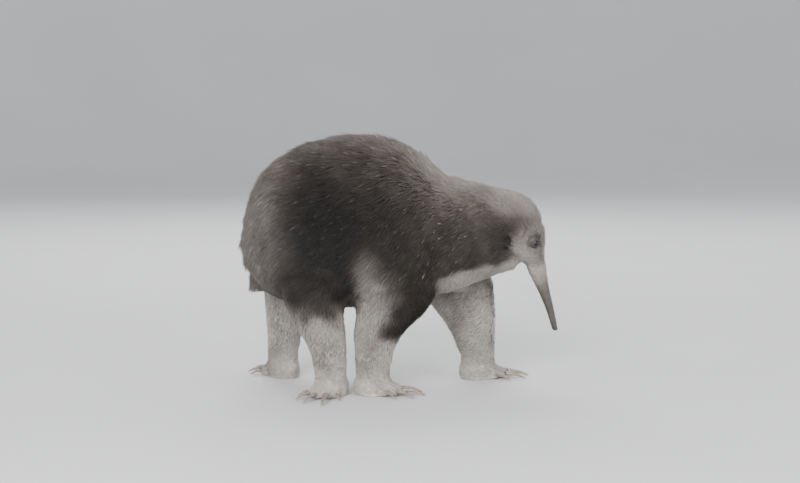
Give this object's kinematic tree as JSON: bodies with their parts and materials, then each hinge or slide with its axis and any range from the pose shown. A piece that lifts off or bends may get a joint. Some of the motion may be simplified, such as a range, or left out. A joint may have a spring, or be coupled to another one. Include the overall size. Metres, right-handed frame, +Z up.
{
  "type": "long-beaked echidna",
  "caption": "Still life-size model of a long-beaked echidna in mid step: high humped back with spines in the coat, low head, long slender down-pointing beak, clawed feet.",
  "frame": {"origin": "on the floor, under the middle of the model's box", "axes": "+X towards the head, +Y to the animal's left, +Z up"},
  "size_m": [0.3016, 0.2066, 0.2363],
  "materials": {
    "coat_dark": "dense dark fur",
    "coat_grey": "short grey-brown fur",
    "coat_pale": "short pale fur",
    "bare_skin": "fine-grained bare skin",
    "horn": "satin horn",
    "eye_dark": "wet dark gloss"
  },
  "bodies": {
    "root": {"torso": "coat_dark", "neck": "coat_grey", "head": "coat_grey", "beak": "bare_skin", "tail": "coat_dark", "ear_left": "coat_grey", "eye_left": "eye_dark", "foreleg_left": "coat_pale", "hindleg_left": "coat_pale", "forefoot_left": "coat_pale", "hindfoot_left": "coat_pale", "foreclaw_left_1": "horn", "hindclaw_left_1": "horn", "foreclaw_left_2": "horn", "hindclaw_left_2": "horn", "foreclaw_left_3": "horn", "hindclaw_left_3": "horn", "foreclaw_left_4": "horn", "hindclaw_left_4": "horn", "foreclaw_left_5": "horn", "hindclaw_left_5": "horn", "ear_right": "coat_grey", "eye_right": "eye_dark", "foreleg_right": "coat_pale", "hindleg_right": "coat_pale", "forefoot_right": "coat_pale", "hindfoot_right": "coat_pale", "foreclaw_right_1": "horn", "hindclaw_right_1": "horn", "foreclaw_right_2": "horn", "hindclaw_right_2": "horn", "foreclaw_right_3": "horn", "hindclaw_right_3": "horn", "foreclaw_right_4": "horn", "hindclaw_right_4": "horn", "foreclaw_right_5": "horn", "hindclaw_right_5": "horn"}
  },
  "joints": []
}
